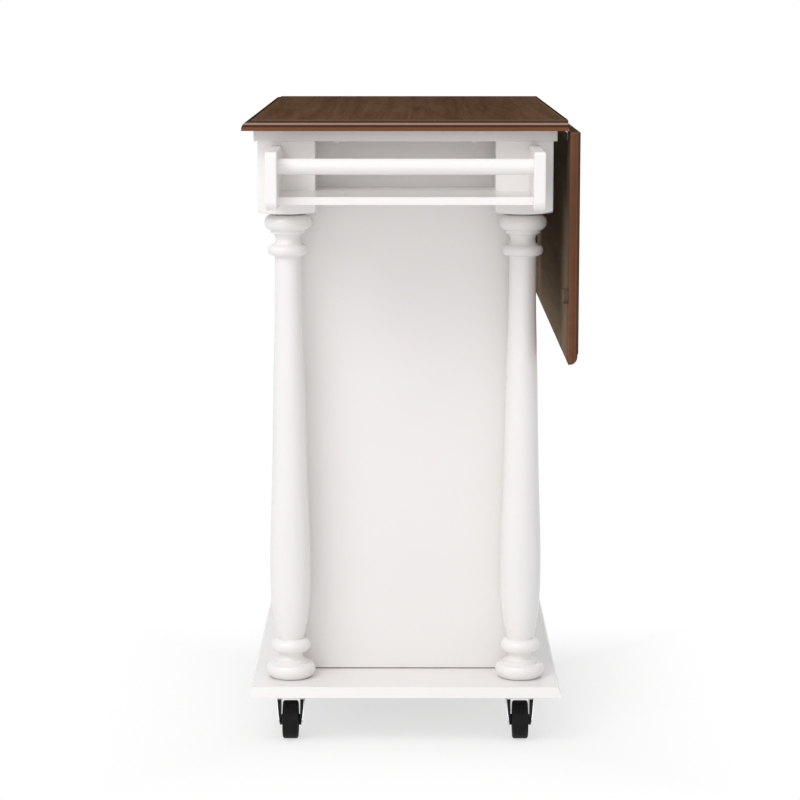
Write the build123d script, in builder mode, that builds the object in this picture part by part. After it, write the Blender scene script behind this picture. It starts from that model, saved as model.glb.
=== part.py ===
from build123d import *
import os
from math import atan, degrees, radians, sin

# Driving dimensions, in millimetres. X is the cart's width, Y its length, and Z is up.

# Worktop and drop leaf
cart_height = 910.0
worktop_length = 914.0
worktop_width = 459.0
worktop_thickness = 15.0
leaf_width = 328.0
leaf_gap = 2.5
side_overhang = 15.5
leaf_overhang = 13.5
end_overhang = 30.0

# Moulded edge of the worktop and the leaf: a small step, then a quarter round
mould_radius = 11.5
mould_step = 1.3
mould_ledge = 2.0

# Sub-top, the painted board that carries the worktop on the legs
sub_top_thickness = 16.0
sub_top_reveal = 5.0
edge_ease = 1.0

# Base board
caster_height = 74.0
base_end_margin = 29.0
base_side_margin = 17.5
base_thickness = 15.0
base_bevel = 5.0

# Legs: the square block at the top
block_side = 82.0
block_height = 104.0
shoulder_height = 6.0
shoulder_radius = 37.0
block_ease = 1.5

# Legs: the turned length, from the foot up
foot_height = 21.5
foot_undercut = 1.2
foot_contact_radius = 28.0
foot_lip_radius = 30.5
foot_radius = 36.2
foot_belly_height = 12.0
foot_shoulder_height = 19.8
foot_shoulder_radius = 33.0
step_height = 4.0
step_radius = 25.0
low_neck_height = 12.0
low_neck_radius = 17.5
bead_height = 20.5
bead_radius = 29.0
bead_end_radius = 19.0
belly_height = 88.0
belly_radius = 29.4
waist_height = 234.0
waist_radius = 26.1
taper_height = 390.0
taper_radius = 22.7
shaft_foot_lean = 0.3
shaft_top_radius = 19.3
ring_cove_height = 4.0
ring_height = 16.0
ring_radius = 29.6
ring_end_radius = 21.7
top_neck_height = 16.5
top_neck_radius = 18.0
top_neck_end_radius = 23.5
fillet_height = 4.5
fillet_radius = 25.3
collar_height = 22.0
collar_radius = 34.5
collar_end_radius = 27.0
groove_height = 3.2
groove_radius = 17.0

# Carcase
carcase_setback = 30.0
panel_thickness = 15.0
back_thickness = 9.0
panel_foot_gap = 1.5
drawer_space = 105.0
shelf_level = 430.0
shelf_setback = 36.0
shelf_play = 1.0
pin_radius = 3.0
pin_depth = 7.0
pin_reach = 8.0
pin_setback = 70.0
pin_play = 0.1

# End rack
cheek_thickness = 16.0
cheek_reach = 165.0
cheek_height = 80.0
cheek_drop = 6.0
cheek_inset = 19.5
cheek_round = 12.0
cheek_crown_round = 6.0
cheek_ease = 2.0
rail_diameter = 22.0
rail_drop = 22.0
rail_setback = 40.0
rail_seat = 8.0
rail_play = 0.1
rack_shelf_thickness = 11.0
rack_shelf_drop = 64.0
rack_shelf_setback = 42.0

# Doors and drawer fronts, set in flush with the carcase
front_thickness = 16.0
front_gap = 2.0
front_chamfer = 1.0
stile_width = 48.0
door_panel_thickness = 6.0
tongue_depth = 8.0
tongue_play = 0.2
sight_chamfer = 3.0
catch_length = 40.0
catch_height = 12.0
catch_depth = 18.0
catch_play = 0.3

# Knobs
knob_reach = 18.0
knob_radius = 13.0
knob_rose_radius = 8.5
knob_rose_height = 2.5
knob_neck_radius = 5.0
knob_head_height = 9.0
knob_cup_height = 4.0
knob_rim_height = 2.0
door_knob_drop = 90.0

# Drawer boxes and their side runners
drawer_back_room = 27.0
drawer_side_height = 70.0
drawer_side_thickness = 12.0
drawer_lift = 12.0
drawer_bottom_thickness = 5.0
drawer_bottom_lift = 6.0
drawer_back_drop = 8.0
runner_space = 12.7
runner_height = 35.0
runner_wall = 1.5
runner_reach = 10.5
runner_play = 0.3

# Butt hinges of the leaf and the doors
knuckle_radius = 3.0
hinge_pin_radius = 1.5
hinge_play = 0.05
knuckle_gap = 0.2
knuckle_room = 0.3
leaf_hinge_length = 60.0
leaf_hinge_inset = 57.0
leaf_plate_width = 13.5
leaf_plate_thickness = 1.6
door_hinge_length = 50.0
door_hinge_inset = 80.0
door_plate_width = 15.0

# Leaf props, two steel arms on the back of the carcase
prop_length = 170.0
prop_width = 18.0
prop_thickness = 5.0
prop_eye_radius = 4.0
prop_pin_radius = 2.0
prop_inset = 227.0
prop_raised_angle = 45.0
prop_plate_thickness = 1.5
prop_plate_height = 40.0
prop_ear_thickness = 1.5
prop_play = 0.5

# Casters
wheel_diameter = 56.0
wheel_width = 23.0
tyre_depth = 9.0
tyre_round = 3.5
hub_recess = 2.0
hub_boss_radius = 8.0
axle_radius = 3.0
axle_play = 0.05
axle_head_radius = 5.0
axle_head_height = 1.5
caster_trail = 20.0
caster_plate_side = 46.0
caster_plate_thickness = 3.0
caster_plate_round = 6.0
wheel_headroom = 3.0
fork_thickness = 2.0
fork_side_play = 2.4
fork_wing = 20.5
fork_knee = 18.5
fork_knee_height = 36.0
fork_eye_radius = 8.5
crown_length = 36.0
crown_skirt = 9.0
kingpin_radius = 5.0
kingpin_head_radius = 8.0
kingpin_head_height = 2.0
race_radius = 16.0
race_play = 0.3

# Screws that hold the sub-top up to the worktop
screw_spread = 194.0
screw_inset = 12.0
screw_radius = 2.5
screw_head_radius = 4.0
screw_head_height = 2.5
screw_depth = 12.0
screw_play = 0.05

# Levels and faces that follow from the sizes above
base_top = caster_height + base_thickness
top_underside = cart_height - worktop_thickness
sub_top_bottom = top_underside - sub_top_thickness
block_bottom = sub_top_bottom - block_height
worktop_x = (leaf_overhang - side_overhang) / 2
sub_top_half_x = (worktop_width - side_overhang - leaf_overhang) / 2
sub_top_half_y = worktop_length / 2 - end_overhang
block_face_x = sub_top_half_x - sub_top_reveal
block_face_y = sub_top_half_y - sub_top_reveal
leg_x = block_face_x - block_side / 2
leg_y = block_face_y - block_side / 2

front_x = -block_face_x + carcase_setback
back_x = block_face_x - carcase_setback
back_inner_x = back_x - back_thickness
front_back_x = front_x + front_thickness
end_y = leg_y - block_side / 2
bay_outer_y = end_y - panel_thickness
bay_inner_y = panel_thickness / 2
deck_top = sub_top_bottom - drawer_space
deck_bottom = deck_top - panel_thickness

hinge_x = worktop_x + worktop_width / 2 + leaf_gap / 2
leaf_hinge_depth = leaf_plate_thickness + hinge_play
hinge_z = top_underside - leaf_hinge_depth
leaf_inner_x = hinge_x + leaf_hinge_depth
leaf_top = hinge_z - leaf_gap / 2
leaf_hinge_y = worktop_length / 2 - leaf_hinge_inset - leaf_hinge_length / 2

cheek_outer_x = block_face_x - cheek_inset
cheek_inner_x = cheek_outer_x - cheek_thickness
cheek_top = sub_top_bottom - cheek_drop
cheek_front_y = block_face_y + cheek_reach

wheel_radius = wheel_diameter / 2
crown_bottom = wheel_diameter + wheel_headroom
crown_top = crown_bottom + fork_thickness

bays = {"near": -1, "far": 1}
corners = {"near_left": (-1, -1), "near_right": (1, -1), "far_left": (-1, 1), "far_right": (1, 1)}

# The origin is on the floor, under the middle of the cart's whole outline
middle_x = (leaf_inner_x + worktop_thickness + worktop_x - worktop_width / 2) / 2
middle_y = (worktop_length / 2 - cheek_front_y) / 2
to_origin = Location((-middle_x, -middle_y, 0))

os.makedirs("parts", exist_ok=True)


def save(label, *solids):
    """Writes one node: a single solid, or a group of separate solids."""
    moved = [solid.moved(to_origin) for solid in solids]
    piece = moved[0] if len(moved) == 1 else Compound(children=moved)
    piece.label = label
    export_step(piece, f"parts/{label}.step")


def slab(x_span, y_span, z_span, mode=Mode.ADD):
    """Adds a board between two limits on each axis to the part being built."""
    spans = [sorted(span) for span in (x_span, y_span, z_span)]
    with Locations(tuple((low + high) / 2 for low, high in spans)):
        return Box(*(high - low for low, high in spans), mode=mode)


def upright(x, y, z=0.0):
    """Plane seen from the near end: local x runs along X, local y up."""
    return Plane(origin=(x, y, z), x_dir=(1, 0, 0), z_dir=(0, -1, 0))


def sidelong(x, y, z=0.0):
    """Plane seen from the right: local x runs along Y, local y up."""
    return Plane(origin=(x, y, z), x_dir=(0, 1, 0), z_dir=(1, 0, 0))


def rod_along_y(x, z, y_span, radius, mode=Mode.ADD):
    """Adds a round bar that runs along Y."""
    low, high = sorted(y_span)
    with BuildSketch(upright(x, high, z)) as section:
        Circle(radius)
    extrude(section.sketch, amount=high - low, mode=mode)


def cove(centre, width, height, start):
    """Quarter of an ellipse about a centre, from a start angle of the line being drawn."""
    return EllipticalCenterArc(centre, width, height, start_angle=start, arc_size=90)


# Worktop and drop leaf


def moulded_section(plane, width, left_moulded, right_moulded):
    """Section of a top board, show face up, with its moulded or square ends."""
    shoulder = worktop_thickness - mould_step
    half = width / 2
    tops = {}
    with BuildSketch(plane) as section:
        with BuildLine():
            for side, moulded in ((-1, left_moulded), (1, right_moulded)):
                corner = (side * half, 0)
                if moulded:
                    crown = (side * (half - mould_radius), shoulder)
                    ledge = (crown[0] - side * mould_ledge, shoulder)
                    tops[side] = (ledge[0], worktop_thickness)
                    spring = (side * half, shoulder - mould_radius)
                    Line(corner, spring)
                    RadiusArc(spring, crown, -side * mould_radius)
                    Polyline(crown, ledge, tops[side])
                else:
                    tops[side] = (side * half, worktop_thickness)
                    Line(corner, tops[side])
            Line((-half, 0), (half, 0))
            Line(tops[-1], tops[1])
        make_face()
    return section.sketch


leaf_hinge_places = (-leaf_hinge_y, 0, leaf_hinge_y)
knuckle_slot = leaf_hinge_length / 2 + knuckle_room


def cut_knuckle_slots():
    """Clears the three hinge knuckles out of the board being built."""
    for place in leaf_hinge_places:
        slot = (place - knuckle_slot, place + knuckle_slot)
        rod_along_y(hinge_x, hinge_z, slot, knuckle_radius + knuckle_room, Mode.SUBTRACT)


with BuildPart() as worktop:
    across = moulded_section(upright(worktop_x, 0, top_underside), worktop_width, True, False)
    extrude(across, amount=worktop_length / 2, both=True)
    along = moulded_section(sidelong(0, 0, top_underside), worktop_length, True, True)
    extrude(along, amount=worktop_width, both=True, mode=Mode.INTERSECT)
    cut_knuckle_slots()
save("worktop", worktop.part)

leaf_middle = leaf_top - leaf_width / 2
leaf_across = Plane(origin=(leaf_inner_x, 0, leaf_middle), x_dir=(0, 0, 1), z_dir=(0, 1, 0))
leaf_along = Plane(origin=(leaf_inner_x, 0, leaf_middle), x_dir=(0, 1, 0), z_dir=(0, 0, -1))
with BuildPart() as drop_leaf:
    extrude(moulded_section(leaf_across, leaf_width, True, False), amount=worktop_length / 2, both=True)
    extrude(
        moulded_section(leaf_along, worktop_length, True, True),
        amount=leaf_width,
        both=True,
        mode=Mode.INTERSECT,
    )
    cut_knuckle_slots()
save("drop_leaf", drop_leaf.part)

# Sub-top and its screws

screw_y = sub_top_half_y - screw_inset
screw_grid = GridLocations(screw_spread, 2 * screw_y, 2, 2)

with BuildPart() as sub_top:
    slab(
        (-sub_top_half_x, sub_top_half_x),
        (-sub_top_half_y, sub_top_half_y),
        (sub_top_bottom, top_underside),
    )
    fillet(sub_top.edges().filter_by(Axis.Z), edge_ease)
    fillet(sub_top.faces().sort_by(Axis.Z)[0].edges(), edge_ease)
    with BuildSketch(Plane.XY.offset(sub_top_bottom)):
        with screw_grid:
            Circle(screw_radius + screw_play)
    extrude(amount=screw_depth, mode=Mode.SUBTRACT)
save("sub_top", sub_top.part)

with BuildPart() as top_screws:
    with BuildSketch(Plane.XY.offset(sub_top_bottom)):
        with screw_grid:
            Circle(screw_head_radius)
    extrude(amount=-screw_head_height)
    fillet(top_screws.faces().group_by(Axis.Z)[0].edges(), screw_head_height / 2)
    with BuildSketch(Plane.XY.offset(sub_top_bottom)):
        with screw_grid:
            Circle(screw_radius)
    extrude(amount=screw_depth)
save("top_screws", *top_screws.solids())

# Base board

with BuildPart() as base_board:
    with BuildSketch(Plane.XY.offset(caster_height)):
        Rectangle(2 * (block_face_x + base_side_margin), 2 * (block_face_y + base_end_margin))
    extrude(amount=base_thickness, taper=degrees(atan(base_bevel / base_thickness)))
    fillet(base_board.faces().sort_by(Axis.Z)[-1].edges(), edge_ease)
save("base_board", base_board.part)

# Turned legs


def leg_outline():
    """Half section of the turned length, drawn from the foot up to the block."""
    foot_top = base_top + foot_height
    step_top = foot_top + step_height
    bead_foot = step_top + low_neck_height
    shaft_foot = bead_foot + bead_height
    collar_top = block_bottom - groove_height
    collar_foot = collar_top - collar_height
    fillet_foot = collar_foot - fillet_height
    ring_top = fillet_foot - top_neck_height
    ring_foot = ring_top - ring_height
    shaft_top = ring_foot - ring_cove_height
    foot_shoulder = (foot_shoulder_radius, base_top + foot_shoulder_height)

    Polyline(
        (0, block_bottom),
        (0, base_top),
        (foot_contact_radius, base_top),
        (foot_contact_radius, base_top + foot_undercut),
        (foot_lip_radius, base_top + foot_undercut),
    )
    ThreePointArc(
        (foot_lip_radius, base_top + foot_undercut),
        (foot_radius, base_top + foot_belly_height),
        foot_shoulder,
    )
    Polyline(foot_shoulder, (step_radius, foot_top), (step_radius, step_top))
    ThreePointArc(
        (step_radius, step_top),
        (low_neck_radius, step_top + low_neck_height / 2),
        (bead_end_radius, bead_foot),
    )
    ThreePointArc(
        (bead_end_radius, bead_foot),
        (bead_radius, bead_foot + bead_height / 2),
        (bead_end_radius, shaft_foot),
    )
    Spline(
        (bead_end_radius, shaft_foot),
        (belly_radius, shaft_foot + belly_height),
        (waist_radius, shaft_foot + waist_height),
        (taper_radius, shaft_foot + taper_height),
        (shaft_top_radius, shaft_top),
        tangents=((shaft_foot_lean, 1), (0, 1)),
    )
    cove((ring_end_radius, shaft_top), ring_end_radius - shaft_top_radius, ring_cove_height, 90)
    ThreePointArc(
        (ring_end_radius, ring_foot),
        (ring_radius, ring_foot + ring_height / 2),
        (ring_end_radius, ring_top),
    )
    ThreePointArc(
        (ring_end_radius, ring_top),
        (top_neck_radius, ring_top + top_neck_height / 2),
        (top_neck_end_radius, fillet_foot),
    )
    Polyline(
        (top_neck_end_radius, fillet_foot),
        (fillet_radius, fillet_foot),
        (fillet_radius, collar_foot),
        (collar_end_radius, collar_foot),
    )
    ThreePointArc(
        (collar_end_radius, collar_foot),
        (collar_radius, collar_foot + collar_height / 2),
        (collar_end_radius, collar_top),
    )
    Polyline(
        (collar_end_radius, collar_top),
        (groove_radius, collar_top),
        (groove_radius, block_bottom),
        (0, block_bottom),
    )


for corner, (side_x, side_y) in corners.items():
    x, y = side_x * leg_x, side_y * leg_y
    axis = Axis((x, y, 0), (0, 0, 1))
    past_block = block_side
    with BuildPart() as leg:
        with BuildSketch(Plane((x, y, block_bottom))):
            RectangleRounded(block_side, block_side, block_ease)
        extrude(amount=block_height)
        with BuildSketch(upright(x, y, block_bottom)):
            with BuildLine():
                shoulder_end = (block_side / 2**0.5, shoulder_height)
                Polyline((0, block_height), (0, 0), (shoulder_radius, 0))
                TangentArc((shoulder_radius, 0), shoulder_end, tangent=(1, 0))
                Polyline(
                    shoulder_end,
                    (past_block, shoulder_height),
                    (past_block, block_height),
                    (0, block_height),
                )
            make_face()
        revolve(axis=axis, mode=Mode.INTERSECT)
        with BuildSketch(upright(x, y)):
            with BuildLine():
                leg_outline()
            make_face()
        revolve(axis=axis)
    save(f"leg_{corner}", leg.part)

# Carcase: end panels, back, partition, drawer decks and shelves

pin_z = shelf_level - pin_radius - pin_play
pin_places = (front_x + pin_setback, back_inner_x - pin_setback)


def bore_pin_holes(face_y, into):
    """Bores the two shelf pin holes in the face of the panel being built."""
    for place in pin_places:
        rod_along_y(place, pin_z, (face_y, face_y + into * pin_depth), pin_radius, Mode.SUBTRACT)


shelf_pins = []
decks = []
for bay, side in bays.items():
    with BuildPart() as end_panel:
        slab(
            (front_x, back_x),
            (side * bay_outer_y, side * end_y),
            (base_top + panel_foot_gap, sub_top_bottom),
        )
        chamfer(end_panel.edges().filter_by(Axis.Z).sort_by(Axis.X)[:2], edge_ease)
        bore_pin_holes(side * bay_outer_y, side)
    save(f"end_panel_{bay}", end_panel.part)

    with BuildPart() as deck:
        slab((front_x, back_inner_x), (side * bay_inner_y, side * bay_outer_y), (deck_bottom, deck_top))
    decks.append(deck.part)

    with BuildPart() as shelf:
        slab(
            (front_x + shelf_setback, back_inner_x - shelf_play),
            (side * (bay_inner_y + shelf_play), side * (bay_outer_y - shelf_play)),
            (shelf_level, shelf_level + panel_thickness),
        )
        chamfer(shelf.edges().filter_by(Axis.Y).sort_by(Axis.X)[:2], edge_ease)
    save(f"shelf_{bay}", shelf.part)

    for face_y, into in ((side * bay_inner_y, -side), (side * bay_outer_y, side)):
        for place in pin_places:
            with BuildPart() as shelf_pin:
                ends = (face_y + into * pin_depth, face_y - into * pin_reach)
                rod_along_y(place, pin_z, ends, pin_radius)
            shelf_pins.append(shelf_pin.part)
save("drawer_decks", *decks)
save("shelf_pins", *shelf_pins)

with BuildPart() as partition:
    slab((front_x, back_inner_x), (-bay_inner_y, bay_inner_y), (base_top, sub_top_bottom))
    bore_pin_holes(bay_inner_y, -1)
    bore_pin_holes(-bay_inner_y, 1)
save("centre_partition", partition.part)

with BuildPart() as back_panel:
    slab((back_inner_x, back_x), (-bay_outer_y, bay_outer_y), (base_top, sub_top_bottom))
save("back_panel", back_panel.part)

# End rack: two cheeks on the near leg blocks, a rail and a notched shelf between them

rail_y = -(cheek_front_y - rail_setback)
rail_z = cheek_top - rail_drop
seat_x = cheek_inner_x + rail_seat

for hand, side in {"left": -1, "right": 1}.items():
    with BuildPart() as cheek:
        slab(
            (side * cheek_inner_x, side * cheek_outer_x),
            (-cheek_front_y, -block_face_y),
            (cheek_top - cheek_height, cheek_top),
        )
        front_edges = cheek.edges().filter_by(Axis.X).group_by(Axis.Y)[0].sort_by(Axis.Z)
        fillet(front_edges[0], cheek_round)
        fillet(front_edges[-1], cheek_crown_round)
        outer_faces = cheek.faces().filter_by(Axis.X)
        fillet(outer_faces.edges().filter_by(lambda edge: edge.center().Y < -block_face_y), cheek_ease)
        with BuildSketch(sidelong(side * seat_x, rail_y, rail_z)):
            Circle(rail_diameter / 2 + rail_play)
        extrude(amount=-side * rail_seat, mode=Mode.SUBTRACT)
    save(f"rack_cheek_{hand}", cheek.part)

with BuildPart() as rack_rail:
    with BuildSketch(sidelong(0, rail_y, rail_z)):
        Circle(rail_diameter / 2)
    extrude(amount=seat_x, both=True)
save("rack_rail", rack_rail.part)

rack_shelf_top = cheek_top - rack_shelf_drop
rack_shelf_bottom = rack_shelf_top - rack_shelf_thickness
rack_shelf_front_y = -(cheek_front_y - rack_shelf_setback)
notch_x = leg_x - block_side / 2
with BuildPart() as rack_shelf:
    slab(
        (-cheek_inner_x, cheek_inner_x),
        (rack_shelf_front_y, -block_face_y),
        (rack_shelf_bottom, rack_shelf_top),
    )
    slab((-notch_x, notch_x), (-block_face_y, -end_y), (rack_shelf_bottom, rack_shelf_top))
    fillet(rack_shelf.edges().filter_by(Axis.X).group_by(Axis.Y)[0], edge_ease)
save("rack_shelf", rack_shelf.part)

# Butt hinges


def hinge_half(plane, length, plate_width, plate_thickness, moving):
    """One half of a hinge: local x along the plate, local y to its seat, local z along the pin."""
    third = length / 3
    lower, upper = -length / 2 + third, length / 2 - third
    if moving:
        spans = [(lower + knuckle_gap, upper - knuckle_gap)]
    else:
        spans = [(-length / 2, lower), (upper, length / 2)]
    shoulder = knuckle_radius + knuckle_room
    with BuildPart(plane) as half:
        with Locations(((shoulder + plate_width) / 2, hinge_play + plate_thickness / 2, 0)):
            Box(plate_width - shoulder, plate_thickness, length)
        for low, high in spans:
            with Locations((shoulder / 2, hinge_play + plate_thickness / 2, (low + high) / 2)):
                Box(shoulder, plate_thickness, high - low)
            with Locations((0, 0, (low + high) / 2)):
                Cylinder(knuckle_radius, high - low)
        with Locations((0, 0, 0)):
            Cylinder(hinge_pin_radius + hinge_play, length, mode=Mode.SUBTRACT)
    return half.part


def hinge_pin(plane, length):
    """The pin of one hinge, along the plane's local z."""
    with BuildPart(plane) as pin:
        Cylinder(hinge_pin_radius, length)
    return pin.part


fixed_plates, leaf_plates, leaf_pins = [], [], []
leaf_plate = (leaf_hinge_length, leaf_plate_width, leaf_plate_thickness)
for place in leaf_hinge_places:
    centre = (hinge_x, place, hinge_z)
    under_worktop = Plane(origin=centre, x_dir=(-1, 0, 0), z_dir=(0, 1, 0))
    behind_leaf = Plane(origin=centre, x_dir=(0, 0, -1), z_dir=(0, -1, 0))
    fixed_plates.append(hinge_half(under_worktop, *leaf_plate, moving=False))
    leaf_plates.append(hinge_half(behind_leaf, *leaf_plate, moving=True))
    leaf_pins.append(hinge_pin(under_worktop, leaf_hinge_length))
save("leaf_hinge_top_plates", *fixed_plates)
save("leaf_hinge_leaf_plates", *leaf_plates)
save("leaf_hinge_pins", *leaf_pins)

# Leaf props

tip_radius = prop_thickness / 2
prop_x = back_x + prop_plate_thickness + prop_play + prop_eye_radius
raised_rise = prop_length * sin(radians(prop_raised_angle))
prop_z = top_underside - prop_play - tip_radius - raised_rise
ear_inner_y = prop_width / 2 + prop_play

prop_brackets = []
for bay, side in bays.items():
    y = side * (worktop_length / 2 - prop_inset)
    ear_outer_y = ear_inner_y + prop_ear_thickness
    with BuildPart() as bracket:
        slab(
            (back_x, back_x + prop_plate_thickness),
            (y - ear_outer_y, y + ear_outer_y),
            (prop_z - prop_plate_height / 2, prop_z + prop_plate_height / 2),
        )
        for ear in (-1, 1):
            ear_span = (y + ear * ear_inner_y, y + ear * ear_outer_y)
            rod_along_y(prop_x, prop_z, ear_span, prop_eye_radius)
            slab((back_x, prop_x), ear_span, (prop_z - prop_eye_radius, prop_z + prop_eye_radius))
        rod_along_y(prop_x, prop_z, (y - ear_inner_y, y + ear_inner_y), prop_pin_radius)
    prop_brackets.append(bracket.part)

    arm_span = (y - prop_width / 2, y + prop_width / 2)
    with BuildPart() as prop:
        rod_along_y(prop_x, prop_z, arm_span, prop_eye_radius)
        slab((prop_x - tip_radius, prop_x + tip_radius), arm_span, (prop_z - prop_length, prop_z))
        rod_along_y(prop_x, prop_z - prop_length, arm_span, tip_radius)
        rod_along_y(prop_x, prop_z, arm_span, prop_pin_radius + hinge_play, Mode.SUBTRACT)
    save(f"leaf_prop_{bay}", prop.part)
save("prop_brackets", *prop_brackets)

# Doors and drawers


def knob(x, y, z):
    """Turned knob on a front at X, pointing away from the cart."""
    neck_end = knob_reach - knob_head_height
    cup_end = neck_end + knob_cup_height
    rim_end = cup_end + knob_rim_height
    with BuildPart() as turned:
        with BuildSketch(Plane(origin=(x, y, z), x_dir=(0, 0, 1), z_dir=(0, 1, 0))):
            with BuildLine():
                Polyline((0, -knob_reach), (0, 0), (knob_rose_radius, 0))
                rose_width = knob_rose_radius - knob_neck_radius
                cove((knob_rose_radius, -knob_rose_height), rose_width, knob_rose_height, 90)
                Line((knob_neck_radius, -knob_rose_height), (knob_neck_radius, -neck_end))
                cove((knob_radius, -neck_end), knob_radius - knob_neck_radius, knob_cup_height, 180)
                Line((knob_radius, -cup_end), (knob_radius, -rim_end))
                TangentArc((0, -knob_reach), (knob_radius, -rim_end), tangent=(1, 0))
            make_face()
        revolve(axis=Axis((x, y, z), (1, 0, 0)))
    return turned.part


door_bottom = base_top + front_gap
door_top = deck_bottom - front_gap
door_inner_y = bay_inner_y + front_gap
door_outer_y = bay_outer_y - front_gap
window_low = door_bottom + stile_width
window_high = door_top - stile_width
panel_x = (front_x + front_back_x) / 2
door_hinge_x = front_x - knuckle_radius - knuckle_room
door_hinge_y = bay_outer_y - front_gap / 2
door_plate_thickness = front_gap / 2 - hinge_play
door_plate = (door_hinge_length, door_plate_width, door_plate_thickness)
hinge_levels = (door_bottom + door_hinge_inset, door_top - door_hinge_inset)

jamb_plates, door_pins, catches = [], [], []
for bay, side in bays.items():
    door_y = (side * door_inner_y, side * door_outer_y)
    window_y = (side * (door_inner_y + stile_width), side * (door_outer_y - stile_width))
    groove_y = (window_y[0] - side * tongue_depth, window_y[1] + side * tongue_depth)
    groove_z = (window_low - tongue_depth, window_high + tongue_depth)
    groove_half = door_panel_thickness / 2 + tongue_play
    with BuildPart() as door_frame:
        slab((front_x, front_back_x), door_y, (door_bottom, door_top))
        chamfer(door_frame.faces().sort_by(Axis.X)[0].edges(), front_chamfer)
        slab((front_x, front_back_x), window_y, (window_low, window_high), Mode.SUBTRACT)
        sight_edges = door_frame.faces().sort_by(Axis.X)[0].inner_wires()[0].edges()
        chamfer(sight_edges, sight_chamfer)
        slab((panel_x - groove_half, panel_x + groove_half), groove_y, groove_z, Mode.SUBTRACT)
    save(f"door_{bay}_frame", door_frame.part)

    with BuildPart() as door_panel:
        slab(
            (panel_x - door_panel_thickness / 2, panel_x + door_panel_thickness / 2),
            (groove_y[0] + side * tongue_play, groove_y[1] - side * tongue_play),
            (groove_z[0] + tongue_play, groove_z[1] - tongue_play),
        )
    save(f"door_{bay}_panel", door_panel.part)

    knob_y = side * (door_inner_y + stile_width / 2)
    save(f"door_{bay}_knob", knob(front_x, knob_y, door_top - door_knob_drop))

    door_plates = []
    for level in hinge_levels:
        centre = (door_hinge_x, side * door_hinge_y, level)
        to_jamb = Plane(origin=centre, x_dir=(1, 0, 0), z_dir=(0, 0, side))
        to_door = Plane(origin=centre, x_dir=(1, 0, 0), z_dir=(0, 0, -side))
        jamb_plates.append(hinge_half(to_jamb, *door_plate, moving=False))
        door_plates.append(hinge_half(to_door, *door_plate, moving=True))
        door_pins.append(hinge_pin(to_jamb, door_hinge_length))
    save(f"door_{bay}_hinge_plates", *door_plates)

    with BuildPart() as catch:
        catch_x = front_back_x + catch_play
        catch_y = side * (door_inner_y + stile_width / 2)
        slab(
            (catch_x, catch_x + catch_depth),
            (catch_y - catch_length / 2, catch_y + catch_length / 2),
            (deck_bottom - catch_height, deck_bottom),
        )
        chamfer(catch.faces().sort_by(Axis.Z)[0].edges(), edge_ease)
    catches.append(catch.part)
save("door_hinge_jamb_plates", *jamb_plates)
save("door_hinge_pins", *door_pins)
save("door_catches", *catches)


def channel(x_span, web_y, open_y, half_height):
    """Rolled channel along X: its web stands at one side, and it is open at the other."""
    inward = 1 if open_y > web_y else -1
    with BuildPart() as rolled:
        slab(x_span, (web_y, open_y), (runner_z - half_height, runner_z + half_height))
        hollow = half_height - runner_wall
        slab(
            x_span,
            (web_y + inward * runner_wall, open_y),
            (runner_z - hollow, runner_z + hollow),
            Mode.SUBTRACT,
        )
    return rolled.part


drawer_front_low = deck_top + front_gap
drawer_front_high = sub_top_bottom - front_gap
drawer_low = drawer_front_low + drawer_lift
drawer_high = drawer_low + drawer_side_height
runner_z = (drawer_low + drawer_high) / 2
drawer_x = (front_back_x, back_inner_x - drawer_back_room)
drawer_back_inner_x = drawer_x[1] - drawer_side_thickness
rail_half_height = runner_height / 2 - runner_wall - runner_play
rail_reach = runner_space - 2 * runner_wall

fixed_runners = []
for bay, side in bays.items():
    with BuildPart() as drawer_front:
        slab(
            (front_x, front_back_x),
            (side * (bay_inner_y + front_gap), side * (bay_outer_y - front_gap)),
            (drawer_front_low, drawer_front_high),
        )
        chamfer(drawer_front.faces().sort_by(Axis.X)[0].edges(), front_chamfer)
    save(f"drawer_{bay}_front", drawer_front.part)

    knob_y = side * (bay_inner_y + bay_outer_y) / 2
    save(f"drawer_{bay}_knob", knob(front_x, knob_y, (drawer_front_low + drawer_front_high) / 2))

    boards, moving_runners = [], []
    faces = []
    for wall_y, inward in ((side * bay_inner_y, side), (side * bay_outer_y, -side)):
        outer_y = wall_y + inward * runner_space
        inner_y = outer_y + inward * drawer_side_thickness
        faces.append(inner_y)
        with BuildPart() as drawer_side:
            slab(drawer_x, (outer_y, inner_y), (drawer_low, drawer_high))
        boards.append(drawer_side.part)
        fixed_runners.append(channel(drawer_x, wall_y, wall_y + inward * runner_reach, runner_height / 2))
        moving_runners.append(channel(drawer_x, outer_y, outer_y - inward * rail_reach, rail_half_height))

    floor_low = drawer_low + drawer_bottom_lift
    floor_high = floor_low + drawer_bottom_thickness
    with BuildPart() as drawer_back:
        slab((drawer_back_inner_x, drawer_x[1]), faces, (floor_low, drawer_high - drawer_back_drop))
    save(f"drawer_{bay}_box", *boards, drawer_back.part)

    with BuildPart() as drawer_bottom:
        slab((front_back_x, drawer_back_inner_x), faces, (floor_low, floor_high))
    save(f"drawer_{bay}_bottom", drawer_bottom.part)
    save(f"drawer_{bay}_runners", *moving_runners)
save("drawer_fixed_runners", *fixed_runners)

# Casters

caster_plates = []
fork_inner = wheel_width / 2 + fork_side_play
fork_outer = fork_inner + fork_thickness
plate_bottom = caster_height - caster_plate_thickness
fork_foot = wheel_radius - fork_eye_radius

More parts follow.
